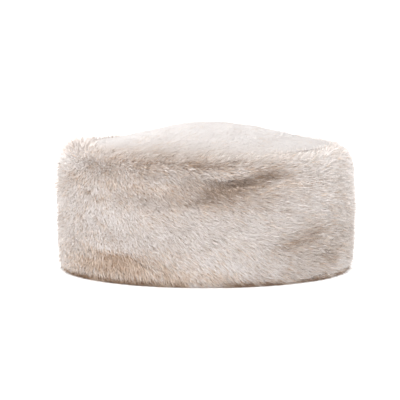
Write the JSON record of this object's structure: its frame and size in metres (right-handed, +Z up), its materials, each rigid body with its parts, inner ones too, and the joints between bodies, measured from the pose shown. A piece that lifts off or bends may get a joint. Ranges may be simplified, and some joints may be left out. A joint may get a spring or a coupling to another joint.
{
  "type": "fur hat",
  "caption": "Soft pillbox fur hat: a deep band of short dense pile that turns over the shoulder to a low domed crown sewn inside it, hollow and open below.",
  "frame": {"origin": "On the surface that the hat stands on, under the middle of its head oval.", "axes": "+X along the head oval's length, the way the fur of the front lies; +Y across it, away from the long side with the fold; +Z up through the crown."},
  "size_m": [0.2487, 0.2164, 0.1221],
  "materials": {
    "band_fur": "Short dense matt fur, cream tips over taupe underfur, laid one way round; plain suede-like pelt inside.",
    "crown_fur": "The same fur with paler, almost white tips, combed along the hat; plain suede-like pelt inside."
  },
  "bodies": {
    "root": {"side_band": "band_fur", "crown": "crown_fur"}
  },
  "joints": []
}
